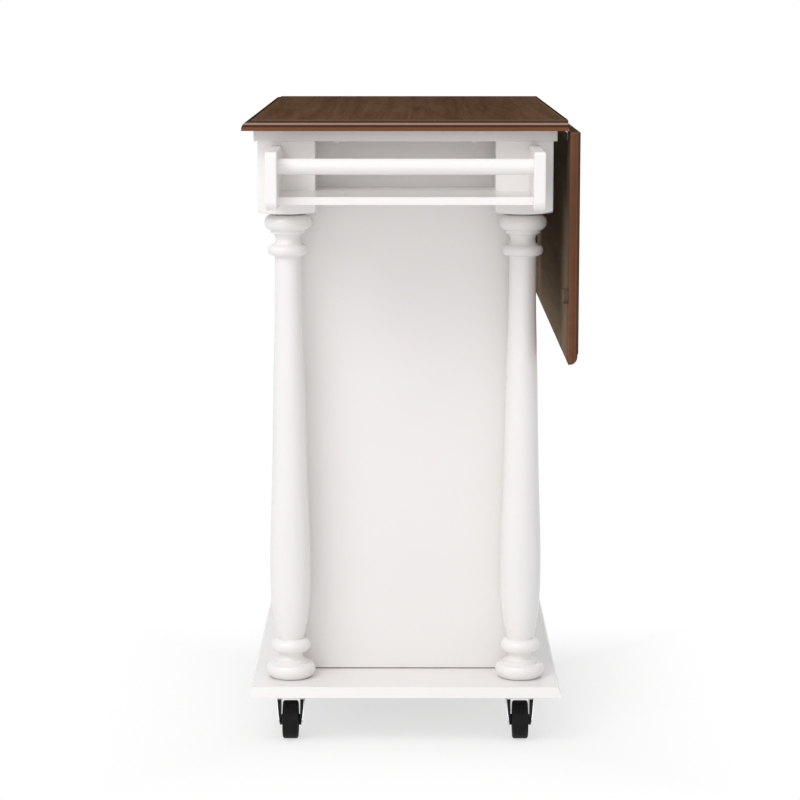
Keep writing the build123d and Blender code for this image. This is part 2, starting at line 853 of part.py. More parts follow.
for corner, (side_x, side_y) in corners.items():
    x, y = side_x * leg_x, side_y * leg_y
    axle_y = y - caster_trail
    swivel = Axis((x, y, 0), (0, 0, 1))
    axle = Axis((x, axle_y, wheel_radius), (1, 0, 0))

    with BuildPart() as plate:
        with BuildSketch(Plane((x, y, plate_bottom))):
            RectangleRounded(caster_plate_side, caster_plate_side, caster_plate_round)
        extrude(amount=caster_plate_thickness)
        with BuildSketch(upright(x, y)):
            with BuildLine():
                head_top = crown_bottom - race_play
                head_bottom = head_top - kingpin_head_height
                Polyline(
                    (0, plate_bottom),
                    (race_radius, plate_bottom),
                    (race_radius, (plate_bottom + crown_top) / 2),
                    (race_radius - race_play - fork_thickness, crown_top + race_play),
                    (kingpin_radius, crown_top + race_play),
                    (kingpin_radius, head_top),
                    (kingpin_head_radius, head_top),
                    (kingpin_head_radius, head_bottom),
                    (0, head_bottom),
                    close=True,
                )
            make_face()
        revolve(axis=swivel)
    caster_plates.append(plate.part)

    with BuildPart() as fork:
        with BuildSketch(upright(x, axle_y)):
            with BuildLine():
                feet = (-fork_outer, fork_foot), (fork_outer, fork_foot)
                wings = (-fork_wing, crown_top), (fork_wing, crown_top)
                ThreePointArc(feet[0], (-fork_knee, fork_knee_height), wings[0])
                Line(*wings)
                ThreePointArc(wings[1], (fork_knee, fork_knee_height), feet[1])
                Line(*feet)
            make_face()
            with Locations((0, (fork_foot + crown_bottom) / 2)):
                Rectangle(2 * fork_inner, crown_bottom - fork_foot, mode=Mode.SUBTRACT)
        extrude(amount=crown_length + caster_trail, both=True)
        with BuildSketch(sidelong(x, axle_y)) as arm_side:
            with Locations((0, wheel_radius)):
                Circle(fork_eye_radius)
            with Locations((caster_trail, crown_top - crown_skirt / 2)):
                Rectangle(crown_length, crown_skirt)
            make_hull()
        extrude(amount=2 * fork_wing, both=True, mode=Mode.INTERSECT)
        for end in (-1, 1):
            with BuildSketch(sidelong(x + end * fork_outer, axle_y)):
                add(arm_side.sketch_local)
                offset(amount=-fork_thickness)
            extrude(amount=end * fork_wing, mode=Mode.SUBTRACT)
        with BuildSketch(Plane((x, y, crown_bottom))):
            Circle(kingpin_radius + axle_play)
        extrude(amount=fork_thickness, mode=Mode.SUBTRACT)
        with BuildSketch(sidelong(x, axle_y, wheel_radius)):
            Circle(axle_radius)
        extrude(amount=fork_outer, both=True)
        for end in (-1, 1):
            with BuildSketch(sidelong(x + end * (fork_outer - axle_head_height / 2), axle_y, wheel_radius)):
                Circle(axle_head_radius)
            extrude(amount=end * 2 * axle_head_height)
    save(f"caster_{corner}_fork", fork.part)

    rim = wheel_radius - tyre_depth
    bore = axle_radius + axle_play
    with BuildPart() as tyre:
        with BuildSketch(upright(x, axle_y, wheel_radius)) as tread:
            with Locations((0, (rim + wheel_radius) / 2)):
                Rectangle(wheel_width, tyre_depth)
            fillet(tread.vertices().group_by(Axis.Y)[-1], tyre_round)
        revolve(axis=axle)
    with BuildPart() as hub:
        with BuildSketch(upright(x, axle_y, wheel_radius)):
            with Locations((0, (bore + rim) / 2)):
                Rectangle(wheel_width - 2 * hub_recess, rim - bore)
            with Locations((0, (bore + hub_boss_radius) / 2)):
                Rectangle(2 * (fork_inner - race_play), hub_boss_radius - bore)
        revolve(axis=axle)
    save(f"caster_{corner}_wheel", tyre.part, hub.part)
save("caster_plates", *caster_plates)
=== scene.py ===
import math

import bmesh
import bpy
from bpy.props import FloatProperty, FloatVectorProperty, PointerProperty
from mathutils import Matrix, Vector


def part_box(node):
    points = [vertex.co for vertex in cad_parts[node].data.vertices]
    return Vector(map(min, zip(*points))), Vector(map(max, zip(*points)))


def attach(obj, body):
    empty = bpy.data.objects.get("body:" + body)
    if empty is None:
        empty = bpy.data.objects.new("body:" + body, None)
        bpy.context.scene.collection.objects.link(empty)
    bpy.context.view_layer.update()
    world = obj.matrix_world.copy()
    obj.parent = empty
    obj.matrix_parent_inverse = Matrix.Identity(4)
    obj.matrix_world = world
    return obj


bl_info = {
    "name": "Kitchen island cart",
    "version": (1, 0, 0),
    "blender": (4, 5, 0),
    "location": "View3D > Sidebar > Cart",
    "description": "Dresses the island cart: stained tops, white paint, metal fittings and studio",
    "category": "Object",
}

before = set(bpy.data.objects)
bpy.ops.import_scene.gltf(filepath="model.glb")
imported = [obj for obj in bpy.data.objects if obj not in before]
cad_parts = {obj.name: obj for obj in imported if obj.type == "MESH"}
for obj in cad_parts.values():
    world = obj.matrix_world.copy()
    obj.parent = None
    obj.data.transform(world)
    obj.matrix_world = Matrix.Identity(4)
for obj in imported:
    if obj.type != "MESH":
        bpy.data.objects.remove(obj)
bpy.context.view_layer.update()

ACROSS, ALONG, UP = 0, 1, 2  # the frame's axes
ENDS = ("near", "far")
CORNERS = ("near_left", "near_right", "far_left", "far_right")

PAINTED = (
    "sub_top",
    "base_board",
    *(f"leg_{corner}" for corner in CORNERS),
    *(f"end_panel_{end}" for end in ENDS),
    "centre_partition",
    "back_panel",
    "drawer_decks",
    *(f"shelf_{end}" for end in ENDS),
    "rack_cheek_left",
    "rack_cheek_right",
    "rack_rail",
    "rack_shelf",
    *(f"door_{end}_{board}" for end in ENDS for board in ("frame", "panel")),
    *(f"drawer_{end}_front" for end in ENDS),
)
BARE_WOOD = tuple(f"drawer_{end}_{board}" for end in ENDS for board in ("box", "bottom"))
NICKEL = (
    *(f"{front}_{end}_knob" for front in ("door", "drawer") for end in ENDS),
    *(f"door_{end}_hinge_plates" for end in ENDS),
    "door_hinge_jamb_plates",
    "door_hinge_pins",
    "leaf_hinge_pins",
)
LEAF_PLATES = ("leaf_hinge_top_plates", "leaf_hinge_leaf_plates")
ZINC = (*(f"drawer_{end}_runners" for end in ENDS), "drawer_fixed_runners", "shelf_pins")
BLACK_STEEL = (*(f"leaf_prop_{end}" for end in ENDS), "prop_brackets")
WHITE_CAPS = ("top_screws", "door_catches")
FORKS = tuple(f"caster_{corner}_fork" for corner in CORNERS)
TYRES = tuple(f"caster_{corner}_wheel" for corner in CORNERS)

# Sizes that the boxes of the CAD nodes don't give, in metres.
KNUCKLE = 0.003  # radius of a hinge's knuckles
KNUCKLE_BLUR = 0.0006  # blur where a hinge plate's painted shade meets its bright knuckles
HINGE_PLAY = 0.00005  # half the gap between a hinge's plates
LEAF_HINGE = 0.06  # length of a leaf hinge
LEAF_SCREW_LINE = 0.0085  # pin to the screws in a leaf hinge's plate
LEAF_SCREW_STEP = 0.021  # one screw to the next
DOOR_HINGE = 0.05  # length of a door hinge
DOOR_SCREW_LINE = 0.0105  # pin to the screws in a door hinge's plate
DOOR_SCREW_STEP = 0.016  # hinge's middle to its screws
BRACKET_PLATE = 0.0015  # thickness of a prop bracket's plate
BRACKET_SCREW_STEP = 0.0135  # bracket's middle to its screws
CASTER_PLATE = 0.003  # thickness of a caster's plate
CASTER_SCREW_INSET = 0.0055  # plate's edge to its screws
HUB_BOSS = 0.0078  # radius of a wheel hub's boss
HUB_RIM = 0.0192  # radius inside a wheel's rim
HUB_FACE = 0.0094  # wheel's middle to the recessed face of its hub
HUB_RIBS = 6
RIB_BEVEL = 0.0005
PARTITION_SCREWS = 4
DECK_SCREW_INSET = 0.045  # back's edge to the outer screw in a deck
DECK_SCREW_REACH = 0.126  # partition to the inner screw in a deck
SHELF_SCREWS = (0.025, 0.095)  # near edge of the rack's shelf to its screws

# Forms of the small pieces, as shares of their radius and rise.
HEAD_SIDES = 28
HEAD_RINGS = ((0.88, 0.65), (0.72, 0.35))  # size against the ring below, share of the rise
CROSS_ARM = 0.5
CROSS_SLOT = 0.13
CROSS_TAPER = 0.7
CROSS_DEPTHS = (0.8, 0.25)  # of the rise and of the radius, of which the deeper holds
CAP_OUTLINE = ((0.0, 1.0), (0.9, 1.0), (1.0, 0.5), (1.0, 0.0), (0.0, 0.0))
PAD_OUTLINE = ((0.0, 1.0), (0.85, 1.0), (1.0, 0.8), (1.0, 0.0), (0.0, 0.0))
PAD_INSET = 2.0  # leaf's end to a pad's middle, in radii of the pad
TURNED_STEPS = 32
SAME_POINT = 0.00002
FIRST_TURN, NEXT_TURN = 0.35, 1.1  # turn of a set's first stud, and from each to the next
SHARP_EDGE = math.radians(35.0)

# Where the lamps stand, what they are aimed at, and the length of their sides.
LAMPS = {
    "key": ((-2.0, -2.75, 3.3), (0.0, 0.0, 0.5), 2.2),
    "fill": ((-0.2, -4.1, 1.4), (0.0, 0.0, 0.5), 2.2),
    "top": ((0.1, -1.9, 3.2), (0.0, -0.4, 0.6), 1.6),
}
SENSOR_WIDTH = 36.0
FLOOR_SIDES = 96
FLOOR_RADIUS = 3.0
FLOOR_FADE = -0.1  # where the floor's fade starts, from the base board's edges outwards
FLOOR_SHOWN = 0.4  # share of the floor that shows under the cart
WHITE, BLACK = (1.0, 1.0, 1.0), (0.0, 0.0, 0.0)


def colour_property(name, description, default):
    """A colour that a user may change."""
    return FloatVectorProperty(
        name=name,
        description=description,
        default=default,
        subtype="COLOR",
        size=3,
        min=0.0,
        max=1.0,
    )


def length_property(name, description, default):
    """A length in metres that a user may change."""
    return FloatProperty(
        name=name,
        description=description,
        default=default,
        min=0.0,
        precision=5,
        unit="LENGTH",
    )


class CartFinish(bpy.types.PropertyGroup):
    """Colours of the cart's finishes."""

    stain_dark: colour_property(
        "Dark stain", "Darkest grain of the stained tops", (0.0805, 0.0417, 0.0226)
    )
    stain_mid: colour_property(
        "Stain", "Middle grain of the stained tops", (0.1075, 0.0592, 0.0344)
    )
    stain_light: colour_property(
        "Light stain", "Lightest grain of the stained tops", (0.136, 0.0792, 0.0485)
    )
    edge_stain: colour_property(
        "Edge stain", "Stain of the moulding's lower half", (0.18, 0.061, 0.0235)
    )
    # Painted shade: the dark tone in the moulding's hollow and at its step, the leaf's dark outline
    # and the dark line along the joint.
    edge_shade: colour_property(
        "Dark glaze", "Glaze held in the hollows of the moulding", (0.03, 0.009, 0.003)
    )
    # Painted highlight: the bright line on the moulding's crown and the light line along the joint.
    crown_highlight: colour_property(
        "Rubbed crown", "Stain rubbed thin on the moulding's crown", (0.35, 0.225, 0.165)
    )
    # Underside tone: partly the paler wood under the boards, partly painted light that brightens
    # the leaf's shaded inner face.
    underside: colour_property("Underside", "Thin stain under the boards", (0.47, 0.37, 0.27))
    paint: colour_property(
        "Paint", "White paint of the cabinet, legs and rack", (0.87, 0.848, 0.838)
    )
    birch: colour_property("Birch", "Lacquered birch of the drawer boxes", (0.66, 0.47, 0.28))
    nickel: colour_property("Nickel", "Knobs and hinges", (0.60, 0.57, 0.52))
    # Painted shade: the dark tone of the leaf hinges' plates.
    aged_nickel: colour_property(
        "Aged nickel", "Plates of the leaf's hinges", (0.2, 0.18, 0.155)
    )
    zinc: colour_property("Zinc", "Runners and shelf pins", (0.55, 0.56, 0.58))
    black_steel: colour_property("Black steel", "Leaf props", (0.02, 0.019, 0.018))
    chrome: colour_property("Chrome", "Caster plates and the forks' rims", (0.72, 0.73, 0.75))
    # Painted shade: the dark tone of the caster forks' flanks.
    fork_flank_shade: colour_property(
        "Black chrome", "Flanks of the caster forks", (0.012, 0.012, 0.013)
    )
    tyre: colour_property("Tyre", "Caster wheels", (0.0085, 0.0085, 0.0085))
    felt: colour_property("Felt", "Pads behind the leaf", (0.16, 0.115, 0.08))


class CartFittings(bpy.types.PropertyGroup):
    """Sizes of the small pieces that are added to the fittings."""

    plate_screw: length_property("Plate screw", "Radius of a leaf hinge's screw head", 0.0027)
    plate_screw_rise: length_property(
        "Plate screw rise", "Height of a leaf hinge's screw head", 0.0004
    )
    door_screw: length_property("Door screw", "Radius of a door hinge's screw head", 0.0024)
    door_screw_rise: length_property(
        "Door screw rise", "Height of a door hinge's flush head", 0.00003
    )
    bracket_screw: length_property(
        "Bracket screw", "Radius of a prop bracket's screw head", 0.0034
    )
    bracket_screw_rise: length_property(
        "Bracket screw rise", "Height of a prop bracket's screw head", 0.0012
    )
    caster_screw: length_property("Caster screw", "Radius of a caster plate's screw head", 0.004)
    caster_screw_rise: length_property(
        "Caster screw rise", "Height of a caster plate's screw head", 0.0018
    )
    knob_screw: length_property("Knob screw", "Radius of a knob's screw head", 0.0045)
    knob_screw_rise: length_property("Knob screw rise", "Height of a knob's screw head", 0.002)
    back_screw: length_property("Back screw", "Radius of a screw head in the back", 0.0034)
    back_screw_rise: length_property(
        "Back screw rise", "Height of a screw head in the back", 0.0009
    )
    rack_cap: length_property("Rack cap", "Radius of a cap over a screw of the rack", 0.0055)
    rack_cap_rise: length_property(
        "Rack cap rise", "Height of a cap over a screw of the rack", 0.0006
    )
    pad_radius: length_property("Pad radius", "Radius of a felt pad behind the leaf", 0.011)
    pad_rise: length_property("Pad rise", "Height of a felt pad behind the leaf", 0.0085)
    pad_drop: length_property("Pad drop", "Leaf's joint down to its felt pads", 0.232)
    rib_width: length_property("Rib width", "Width of a rib on a caster hub", 0.0024)
    rib_height: length_property("Rib height", "Height of a rib on a caster hub", 0.0015)


class CartStudio(bpy.types.PropertyGroup):
    """Camera, floor and lamps."""

    lens: FloatProperty(name="Lens", description="Focal length", default=114.75, unit="CAMERA")
    camera_height: length_property("Camera height", "Lens above the floor", 1.078)
    camera_distance: length_property("Camera distance", "Lens to the worktop's near end", 3.588)
    camera_tilt: FloatProperty(
        name="Camera tilt",
        description="Tilt below the horizon",
        default=math.radians(8.94),
        subtype="ANGLE",
    )
    camera_turn: FloatProperty(
        name="Camera turn",
        description="Turn to the left",
        default=math.radians(0.1235),
        subtype="ANGLE",
    )
    ambient: FloatProperty(
        name="Ambient", description="Strength of the room's even light", default=0.6
    )
    key_power: FloatProperty(
        name="Key", description="Lamp at the upper left", default=66.0, unit="POWER"
    )
    fill_power: FloatProperty(
        name="Fill", description="Lamp at the front", default=14.0, unit="POWER"
    )
    top_power: FloatProperty(
        name="Top", description="Lamp overhead", default=8.0, unit="POWER"
    )
    floor_colour: colour_property("Floor", "Pale floor", (0.95, 0.95, 0.95))
    floor_reach: length_property(
        "Floor reach", "Floor that shows past the cart before it fades to white", 0.3
    )


class Socket:
    """A node's output, whose arithmetic adds Math nodes to the same tree."""

    def __init__(self, maker, output):
        self.maker = maker
        self.output = output

    def math(self, operation, *values):
        """The result of a Math node."""
        return self.maker.node("ShaderNodeMath", {"operation": operation}, *values)

    def __add__(self, other):
        return self.math("ADD", self, other)

    def __radd__(self, other):
        return self.math("ADD", other, self)

    def __sub__(self, other):
        return self.math("SUBTRACT", self, other)

    def __rsub__(self, other):
        return self.math("SUBTRACT", other, self)

    def __mul__(self, other):
        return self.math("MULTIPLY", self, other)

    def __rmul__(self, other):
        return self.math("MULTIPLY", other, self)

    def __truediv__(self, other):
        return self.math("DIVIDE", self, other)

    def __abs__(self):
        return self.math("ABSOLUTE", self)

    def least(self, other):
        return self.math("MINIMUM", self, other)

    def most(self, other):
        return self.math("MAXIMUM", self, other)

    def floor(self):
        return self.math("FLOOR", self)

    def beside(self, name):
        """Another output of the same node."""
        return Socket(self.maker, self.output.node.outputs[name])


class Maker:
    """Adds nodes to one tree, each through the same method."""

    def __init__(self, tree):
        self.tree = tree
        tree.nodes.clear()

    def node(self, kind, settings=None, *values, output=0, at=None, **sockets):
        """One node: its settings, then its sockets in order, by place and by name."""
        made = self.tree.nodes.new(kind)
        for name, value in (settings or {}).items():
            if name == "stops":
                self.set_stops(made.color_ramp, value)
            else:
                setattr(made, name, value)
        named = {name.replace("_", " "): value for name, value in sockets.items()}
        for key, value in {**dict(enumerate(values)), **(at or {}), **named}.items():
            if isinstance(value, Socket):
                self.tree.links.new(value.output, made.inputs[key])
            else:
                made.inputs[key].default_value = value
        return Socket(self, made.outputs[output]) if made.outputs else made

    @staticmethod
    def set_stops(ramp, stops):
        """Gives a colour ramp its stops."""
        while len(ramp.elements) < len(stops):
            ramp.elements.new(0.5)
        for element, (position, colour) in zip(ramp.elements, stops):
            element.position = position
            element.color = (*colour, 1.0)


# Places of a Mix node's colour sockets, whose names its other kinds share.
MIX_FIRST, MIX_SECOND, MIX_RESULT = 6, 7, 2


class Finish(Maker):
    """One material, ending in a Principled shader."""

    def __init__(self, name):
        self.material = bpy.data.materials.new(name)
        self.material.use_nodes = True
        super().__init__(self.material.node_tree)

    def place(self, scale=(1.0, 1.0, 1.0)):
        """Object coordinates, squeezed."""
        spot = self.node("ShaderNodeTexCoord", output="Object")
        return self.node("ShaderNodeMapping", None, Vector=spot, Scale=scale)

    def noise(self, place, scale, detail=3.0, roughness=0.5, distortion=0.0):
        """Cloudy value from 0 to 1."""
        return self.node(
            "ShaderNodeTexNoise",
            None,
            Vector=place,
            Scale=scale,
            Detail=detail,
            Roughness=roughness,
            Distortion=distortion,
        )

    def ramp(self, value, *stops):
        """Colours along a value."""
        return self.node("ShaderNodeValToRGB", {"stops": stops}, Fac=value)

    def span(self, value, low, high, to_low=0.0, to_high=1.0):
        """A value moved from one range to another, and held inside it."""
        return self.node("ShaderNodeMapRange", {"clamp": True}, value, low, high, to_low, to_high)

    def blend(self, share, first, second):
        """Blends two colours by a share, a number or a socket."""
        ends = {
            place: colour if isinstance(colour, Socket) else (*colour, 1.0)
            for place, colour in ((MIX_FIRST, first), (MIX_SECOND, second))
        }
        settings = {"data_type": "RGBA"}
        return self.node("ShaderNodeMix", settings, output=MIX_RESULT, Factor=share, at=ends)

    def axes(self):
        """Object coordinates as three values."""
        across = self.node("ShaderNodeSeparateXYZ", None, self.place())
        return across, across.beside("Y"), across.beside("Z")

    def bump(self, height, depth, strength=1.0):
        """Relief of a height from 0 to 1 over a depth in metres."""
        return self.node("ShaderNodeBump", None, Strength=strength, Distance=depth, Height=height)

    def end(self, **sockets):
        """The Principled shader, and the finished material."""
        shader = self.node("ShaderNodeBsdfPrincipled", None, **sockets)
        self.node("ShaderNodeOutputMaterial", None, shader)
        return self.material


STAVE = 0.083  # width of a stave
BOARD = 0.015  # thickness of the tops
MOULD = 0.0135  # width of their moulding
MOULD_BLUR = 0.0005  # blur of the moulding's inner line and of its mitres
JOINT_LINES = ((0.006, 0.0075), (0.003, 0.004))  # painted highlight and painted shade lines along the edge at the leaf's joint
TOP_FACE = (0.85, 0.95)  # levels of a board where its top face starts
UNDER_FACE = (0.015, 0.04)  # levels of a board where its underside ends
UNDER_FADE = (0.005, 0.13)  # from the ends, where the lighter underside tone starts; nearer the ends it keeps the stain, a painted shade
STAVE_SHIFT = 3.0  # how far the grain may be moved along a stave


# Figure, fibres and pores of the stained wood: how far each is squeezed along the grain, and
# its noise.
GRAINS = (
    (0.045, {"scale": 38.0, "detail": 4.0, "roughness": 0.55, "distortion": 0.9}),
    (0.014, {"scale": 620.0, "detail": 4.0, "roughness": 0.6}),
    (0.02, {"scale": 1700.0, "detail": 2.0, "roughness": 0.5}),
)


def stained_wood(name, look, edges, joint, underside, glint):
    """Brown stain over staves with grain along the cart, with painted highlight and painted shade
    on the moulding.

    Edges are the moulded sides: the long one, then the two ends, each with its axis, its line
    and the way inwards. Joint and underside have an axis and a line, and glint is the strength
    of the painted highlight on the moulding's crown, from 0 to 1.
    """
    wood = Finish(name)
    x, y, z = wood.axes()
    stave = ((x + z) / STAVE).floor()
    chance = wood.node("ShaderNodeTexWhiteNoise", {"noise_dimensions": "1D"}, W=stave)
    spot = wood.node("ShaderNodeCombineXYZ", None, x, y + chance * STAVE_SHIFT, z)
    figure, fibres, pores = (
        wood.noise(wood.node("ShaderNodeMapping", None, spot, Scale=(1.0, along, 1.0)), **cloud)
        for along, cloud in GRAINS
    )
    pore = wood.span(pores, 0.62, 0.7)
    grain = figure * 0.6 + fibres * 0.4 + (chance - 0.5) * 0.1
    stain = wood.ramp(
        grain,
        (0.36, tuple(look.stain_dark)),
        (0.5, tuple(look.stain_mid)),
        (0.66, tuple(look.stain_light)),
    )
    stain = wood.blend(pore * 0.45, stain, tuple(look.stain_dark))

    axis, line = underside
    level = ((x, y, z)[axis] - line) / BOARD
    axis, line = joint
    from_joint = line - (x, y, z)[axis]
    on_top = wood.span(level, *TOP_FACE)
    # Along the joint on the top face: a faint painted highlight line, and nearer the edge a painted
    # shade line.
    highlighted, joint_shade = (
        on_top * wood.span(from_joint, near, far, 1.0, 0.0) for near, far in JOINT_LINES
    )
    stain = wood.blend(highlighted * 0.12, stain, tuple(look.crown_highlight))
    stain = wood.blend(joint_shade, stain, tuple(look.edge_shade))

    gaps = [((x, y, z)[axis] - line) * inward for axis, line, inward in edges]
    from_end = gaps[1].least(gaps[2])
    from_edge = gaps[0].least(from_end)
    at_end = wood.span(gaps[0] - from_end, -MOULD_BLUR, MOULD_BLUR)
    # Painted light and shade on the moulding, in bands up the board: the edge stain low down,
    # painted shade in the hollow, a painted highlight on the crown, painted shade at the step, and
    # at the top arris a painted highlight on the worktop and a dark outline on the leaf.
    tones = (look.edge_stain, look.edge_shade, look.crown_highlight)
    low, dark, high = (Vector(tone) for tone in tones)
    crown, hollow, arris = low.lerp(high, glint), low.lerp(dark, glint), dark.lerp(high, glint * 0.6)
    bands = (
        (0.3, low),
        (0.42, hollow),
        (0.53, hollow),
        (0.6, crown),
        (0.7, crown),
        (0.79, dark),
        (0.9, dark),
        (0.97, arris),
    )
    moulding = wood.ramp(level, *((stop, tuple(tone)) for stop, tone in bands))
    # On the long side the moulding darkens towards the top face, blending to the painted shade
    # tone.
    side_bands = ((0.0, low), (0.5, low.lerp(dark, 0.4)), (0.79, dark))
    side = wood.ramp(level, *((stop, tuple(tone)) for stop, tone in side_bands))
    moulding = wood.blend(0.4 - 0.3 * glint, wood.blend(at_end, side, moulding), stain)
    on_edge = wood.span(from_edge, MOULD, MOULD + MOULD_BLUR, 1.0, 0.0)
    # The underside tone, partly the paler wood and partly painted light on the leaf's shaded inner
    # face, is kept back near the ends as painted shade.
    below = wood.span(level, *UNDER_FACE, 1.0, 0.0)
    thin = below * wood.span(grain, 0.3, 0.7, 1.0, 0.7) * wood.span(from_end, *UNDER_FADE)
    colour = wood.blend(on_edge, stain, moulding)
    return wood.end(
        Base_Color=wood.blend(thin, colour, tuple(look.underside)),
        Roughness=0.4 + fibres * 0.14,
        Specular_IOR_Level=0.0,
        Coat_Weight=on_edge * at_end * 0.2,
        Coat_Roughness=0.2,
        Normal=wood.bump(fibres * 0.7 - pore * 0.5, depth=0.0002, strength=0.35),
    )


def shaded(tone, share):
    """A tone with all its channels multiplied."""
    return tuple(channel * share for channel in tone)


def white_paint(look):
    """Satin white paint, sprayed on wood."""
    paint = Finish("white_paint")
    cloud = paint.noise(paint.place(), scale=7.0)
    peel = paint.noise(paint.place(), scale=650.0, detail=2.0)
    tone = tuple(look.paint)
    return paint.end(
        Base_Color=paint.blend(paint.span(cloud, 0.35, 0.7), tone, shaded(tone, 0.982)),
        Roughness=0.2 + cloud * 0.1,
        Specular_IOR_Level=0.55,
        Normal=paint.bump(peel, depth=0.00008, strength=0.3),
    )


def lacquered_birch(look):
    """Pale birch under clear lacquer, grain along the drawer's depth."""
    birch = Finish("drawer_birch")
    fibres = birch.noise(birch.place((0.04, 1.0, 1.0)), scale=420.0, detail=4.0, roughness=0.6)
    figure = birch.noise(birch.place((0.08, 1.0, 1.0)), scale=40.0, detail=2.0, distortion=0.5)
    tone = tuple(look.birch)
    return birch.end(
        Base_Color=birch.blend(figure * 0.6 + fibres * 0.4, tone, shaded(tone, 0.72)),
        Roughness=0.4 + fibres * 0.15,
        Normal=birch.bump(fibres, depth=0.0002, strength=0.3),
    )


def plated_metal(name, tone, roughness, grain_scale):
    """Plated metal with a fine grain and slight smears."""
    metal = Finish(name)
    smear = metal.noise(metal.place(), scale=60.0)
    grain = metal.noise(metal.place((1.0, 1.0, 0.1)), scale=grain_scale)
    return metal.end(
        Base_Color=metal.blend(smear, tuple(tone), shaded(tone, 0.85)),
        Metallic=1.0,
        Roughness=roughness + grain * 0.1 + smear * 0.05,
    )


def shade_darkened_hinge(look, pin):
    """Nickel plates darkened as painted shade, with the knuckles round the pin left bright, a
    painted highlight.
    """
    metal = Finish("aged_nickel")
    x, _, z = metal.axes()
    # The plates take the painted shade tone, the knuckles the bright nickel as a painted highlight.
    from_pin = abs(x - pin.x).most(abs(z - pin.z))
    highlighted = metal.span(from_pin, KNUCKLE, KNUCKLE + KNUCKLE_BLUR, 1.0, 0.0)
    smear = metal.noise(metal.place(), scale=60.0)
    return metal.end(
        Base_Color=metal.blend(highlighted, tuple(look.aged_nickel), tuple(look.nickel)),
        Metallic=1.0,
        Roughness=0.4 + smear * 0.1 - highlighted * 0.15,
    )


def black_paint(look):
    """Satin black powder coat."""
    coat = Finish("dark_steel")
    pebble = coat.noise(coat.place(), scale=1500.0, detail=2.0)
    tone = tuple(look.black_steel)
    return coat.end(
        Base_Color=coat.blend(pebble, tone, shaded(tone, 1.5)),
        Roughness=0.4 + pebble * 0.15,
        Normal=coat.bump(pebble, depth=0.0001, strength=0.4),
    )


def moulded_cap(look):
    """White moulded plastic."""
    cap = Finish("white_cap")
    cloud = cap.noise(cap.place(), scale=90.0)
    tone = tuple(look.paint)
    return cap.end(
        Base_Color=cap.blend(cloud, tone, shaded(tone, 0.95)),
        Roughness=0.45 + cloud * 0.1,
    )


FLANK = (0.011515, 0.26133, -1.8693)  # half a fork's width by its height: a parabola's terms
RIM = (-0.0011, -0.0006)  # from a flank's outer face inwards, where its painted highlight rim starts
CROWN = (0.0575, 0.0585)  # heights where the chrome crown over the wheel starts, above the painted shade


def fork_plate(look, middle, spread):
    """Flanks painted dark as shade, inside thin bright rims painted as highlight, under a chrome
    crown, on forks that stand at four corners.
    """
    fork = Finish("chrome_fork")
    x, _, z = fork.axes()
    aside = abs(abs(x - middle.x) - spread)
    flank = FLANK[0] + z * FLANK[1] + z * z * FLANK[2]
    # Bright on a thin rim at the flank's outer edge, a painted highlight, and on the chrome crown;
    # the flanks keep the dark painted shade.
    bright = fork.span(aside - flank, *RIM).most(fork.span(z, *CROWN))
    smear = fork.noise(fork.place(), scale=90.0)
    return fork.end(
        Base_Color=fork.blend(bright, tuple(look.fork_flank_shade), tuple(look.chrome)),
        Metallic=1.0,
        Roughness=0.12 + smear * 0.12,
    )


def brown_felt(look):
    """Pressed brown felt."""
    felt = Finish("brown_felt")
    fuzz = felt.noise(felt.place(), scale=1400.0, detail=4.0, roughness=0.7)
    tone = tuple(look.felt)
    return felt.end(
        Base_Color=felt.blend(felt.span(fuzz, 0.3, 0.7), tone, shaded(tone, 0.6)),
        Roughness=0.85 + fuzz * 0.15,
        Specular_IOR_Level=0.1,
        Normal=felt.bump(fuzz, depth=0.0006, strength=0.6),
    )


def tyre_rubber(look):
    """Black moulded wheel with a satin skin, a little dusty."""
    rubber = Finish("black_tyre")
    grit = rubber.noise(rubber.place(), scale=1200.0)
    dust = rubber.noise(rubber.place(), scale=70.0)
    tone = tuple(look.tyre)
    return rubber.end(
        Base_Color=rubber.blend(rubber.span(dust, 0.4, 0.8), tone, shaded(tone, 1.35)),
        Roughness=0.5 + grit * 0.2,
        Specular_IOR_Level=0.12,
        Normal=rubber.bump(grit, depth=0.0001, strength=0.3),
    )


def dress(nodes, material):
    """Gives CAD nodes their finish."""
    for name in nodes:
        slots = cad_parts[name].data.materials
        slots.clear()
        slots.append(material)


def middle_of(node):
    """Middle of a CAD node's box."""
    low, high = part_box(node)
    return (low + high) / 2


def grow(bm, edges, factor, lift):
    """Extrudes a ring of edges, scales it about the Z axis, lifts it and gives its new edges."""
    made = bmesh.ops.extrude_edge_only(bm, edges=edges)["geom"]
    points = [item for item in made if isinstance(item, bmesh.types.BMVert)]
    bmesh.ops.scale(bm, vec=(factor, factor, 1.0), verts=points)
    bmesh.ops.translate(bm, vec=(0.0, 0.0, lift), verts=points)
    fresh = set(points)
    rings = [item for item in made if isinstance(item, bmesh.types.BMEdge)]
    return [edge for edge in rings if fresh.issuperset(edge.verts)]


